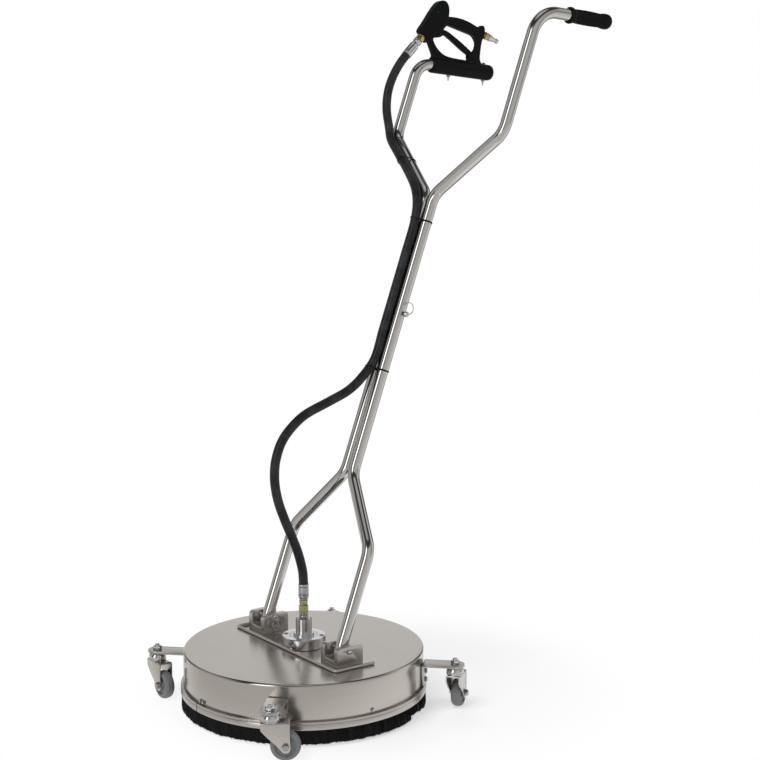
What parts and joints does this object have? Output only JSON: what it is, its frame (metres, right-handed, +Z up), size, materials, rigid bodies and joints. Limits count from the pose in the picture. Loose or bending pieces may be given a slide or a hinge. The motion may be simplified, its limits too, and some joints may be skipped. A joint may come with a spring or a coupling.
{
  "type": "surface cleaner",
  "caption": "Rotary pressure-washer surface cleaner: round steel deck with bristle skirt on swivel casters, leaning tube handle with trigger gun, rubber grip and feed hose to the deck swivel.",
  "frame": {"origin": "on the floor, under the middle of the machine's outline at rest; the deck's own axis stands at X 0, Y -0.211946", "axes": "+Z up; +Y to the operator, the way the handle leans; +X along the handle's pivot pins, to the operator's right when facing the machine's front (-Y)"},
  "size_m": [0.5346, 0.9448, 1.514],
  "materials": {
    "deck_steel": "brushed stainless sheet",
    "tube_steel": "polished stainless tube",
    "bracket_steel": "machined stainless",
    "plated_steel": "bright plated steel",
    "swivel_alloy": "turned, satin",
    "zinc_fitting": "matt zinc plate",
    "brass_fitting": "machined brass",
    "yellow_zinc_fitting": "yellow passivated, machined",
    "bristle": "black nylon bristle",
    "hose_rubber": "wrapped black cover",
    "grip_rubber": "moulded, matt",
    "gun_plastic": "moulded, fine texture",
    "wheel_rubber": "grey, non-marking"
  },
  "bodies": {
    "deck": {"deck_pan": "deck_steel", "skirt_band": "deck_steel", "brush_skirt": "bristle", "stiffener_rod": "deck_steel", "pivot_bracket_left": "bracket_steel", "pivot_bracket_right": "bracket_steel", "swivel_housing": "swivel_alloy", "swivel_plug": "plated_steel", "swivel_inlet_fitting": "yellow_zinc_fitting", "swivel_bearing": "plated_steel", "ferrule_lower": "zinc_fitting", "hose_lower": "hose_rubber", "caster_bracket_front_left": "deck_steel", "caster_king_pin_front_left": "plated_steel", "caster_bracket_front_right": "deck_steel", "caster_king_pin_front_right": "plated_steel", "caster_bracket_rear_right": "deck_steel", "caster_king_pin_rear_right": "plated_steel", "caster_bracket_rear_left": "deck_steel", "caster_king_pin_rear_left": "plated_steel"},
    "handle": {"lower_tube_left": "tube_steel", "lower_tube_right": "tube_steel", "upper_tube_left": "tube_steel", "upper_tube_right": "tube_steel", "handlebar_grip": "grip_rubber", "gun_shell_left": "gun_plastic", "gun_shell_right": "gun_plastic", "trigger_pin": "plated_steel", "valve_body": "brass_fitting", "valve_spring": "plated_steel", "gun_outlet_fitting": "brass_fitting", "gun_inlet_fitting": "brass_fitting", "quick_connect_plug": "plated_steel", "ferrule_upper": "plated_steel", "hose_upper": "hose_rubber"},
    "trigger": {"trigger": "gun_plastic"},
    "valve_rod": {"valve_rod": "plated_steel"},
    "splice_pin": {"splice_pin": "plated_steel"},
    "pivot_pin_left": {"pivot_pin_left": "plated_steel", "pivot_ring_left": "plated_steel"},
    "pivot_pin_right": {"pivot_pin_right": "plated_steel", "pivot_ring_right": "plated_steel"},
    "rotor": {"rotor_shaft": "bracket_steel", "rotor_hub": "swivel_alloy", "spray_arm_a": "deck_steel", "spray_arm_b": "deck_steel", "spray_nozzle_a": "brass_fitting", "spray_nozzle_b": "brass_fitting"},
    "caster_swivel_front_left": {"caster_fork_front_left": "deck_steel", "caster_axle_front_left": "plated_steel"},
    "caster_wheel_front_left": {"caster_wheel_front_left": "wheel_rubber"},
    "caster_swivel_front_right": {"caster_fork_front_right": "deck_steel", "caster_axle_front_right": "plated_steel"},
    "caster_wheel_front_right": {"caster_wheel_front_right": "wheel_rubber"},
    "caster_swivel_rear_right": {"caster_fork_rear_right": "deck_steel", "caster_axle_rear_right": "plated_steel"},
    "caster_wheel_rear_right": {"caster_wheel_rear_right": "wheel_rubber"},
    "caster_swivel_rear_left": {"caster_fork_rear_left": "deck_steel", "caster_axle_rear_left": "plated_steel"},
    "caster_wheel_rear_left": {"caster_wheel_rear_left": "wheel_rubber"}
  },
  "joints": [
    {"name": "handle_tilt", "type": "hinge", "parent": "deck", "child": "handle", "pos_m": [0, -0.21455, 0.1553], "axis": [-1, 0, 0], "range_deg": [-20, 60]},
    {"name": "rotor_spin", "type": "hinge", "parent": "deck", "child": "rotor", "pos_m": [0, -0.21195, 0.064], "axis": [0, 0, 1], "continuous": true},
    {"name": "trigger_pull", "type": "hinge", "parent": "handle", "child": "trigger", "pos_m": [-0.1841, 0.28605, 1.437], "axis": [1, 0, 0], "range_deg": [0, 14]},
    {"name": "valve_rod_slide", "type": "slide", "parent": "handle", "child": "valve_rod", "axis": [0, 0, 1], "range_m": [0, 0.0037], "deforming": ["valve_spring"]},
    {"name": "splice_pin_pull", "type": "slide", "parent": "handle", "child": "splice_pin", "axis": [1, 0, 0], "range_m": [0, 0.06]},
    {"name": "pivot_pin_left_pull", "type": "slide", "parent": "deck", "child": "pivot_pin_left", "axis": [1, 0, 0], "range_m": [0, 0.05]},
    {"name": "pivot_pin_right_pull", "type": "slide", "parent": "deck", "child": "pivot_pin_right", "axis": [-1, 0, 0], "range_m": [0, 0.05]},
    {"name": "caster_swivel_front_left", "type": "hinge", "parent": "deck", "child": "caster_swivel_front_left", "pos_m": [-0.22811, -0.44006, 0.078], "axis": [0, 0, 1], "continuous": true},
    {"name": "caster_roll_front_left", "type": "hinge", "parent": "caster_swivel_front_left", "child": "caster_wheel_front_left", "pos_m": [-0.19911, -0.44006, 0.03], "axis": [0, 1, 0], "continuous": true},
    {"name": "caster_swivel_front_right", "type": "hinge", "parent": "deck", "child": "caster_swivel_front_right", "pos_m": [0.22811, -0.44006, 0.078], "axis": [0, 0, 1], "continuous": true},
    {"name": "caster_roll_front_right", "type": "hinge", "parent": "caster_swivel_front_right", "child": "caster_wheel_front_right", "pos_m": [0.24391, -0.41574, 0.03], "axis": [-0.8387, 0.5446, 0], "continuous": true},
    {"name": "caster_swivel_rear_right", "type": "hinge", "parent": "deck", "child": "caster_swivel_rear_right", "pos_m": [0.22811, 0.01617, 0.078], "axis": [0, 0, 1], "continuous": true},
    {"name": "caster_roll_rear_right", "type": "hinge", "parent": "caster_swivel_rear_right", "child": "caster_wheel_rear_right", "pos_m": [0.21148, 0.03992, 0.03], "axis": [-0.8192, -0.5736, 0], "continuous": true},
    {"name": "caster_swivel_rear_left", "type": "hinge", "parent": "deck", "child": "caster_swivel_rear_left", "pos_m": [-0.22811, 0.01617, 0.078], "axis": [0, 0, 1], "continuous": true},
    {"name": "caster_roll_rear_left", "type": "hinge", "parent": "caster_swivel_rear_left", "child": "caster_wheel_rear_left", "pos_m": [-0.24391, 0.04049, 0.03], "axis": [-0.8387, -0.5446, 0], "continuous": true}
  ],
  "couplings": [
    {"joint": "valve_rod_slide", "follows": "trigger_pull", "m_per_rad": 0.0145}
  ]
}
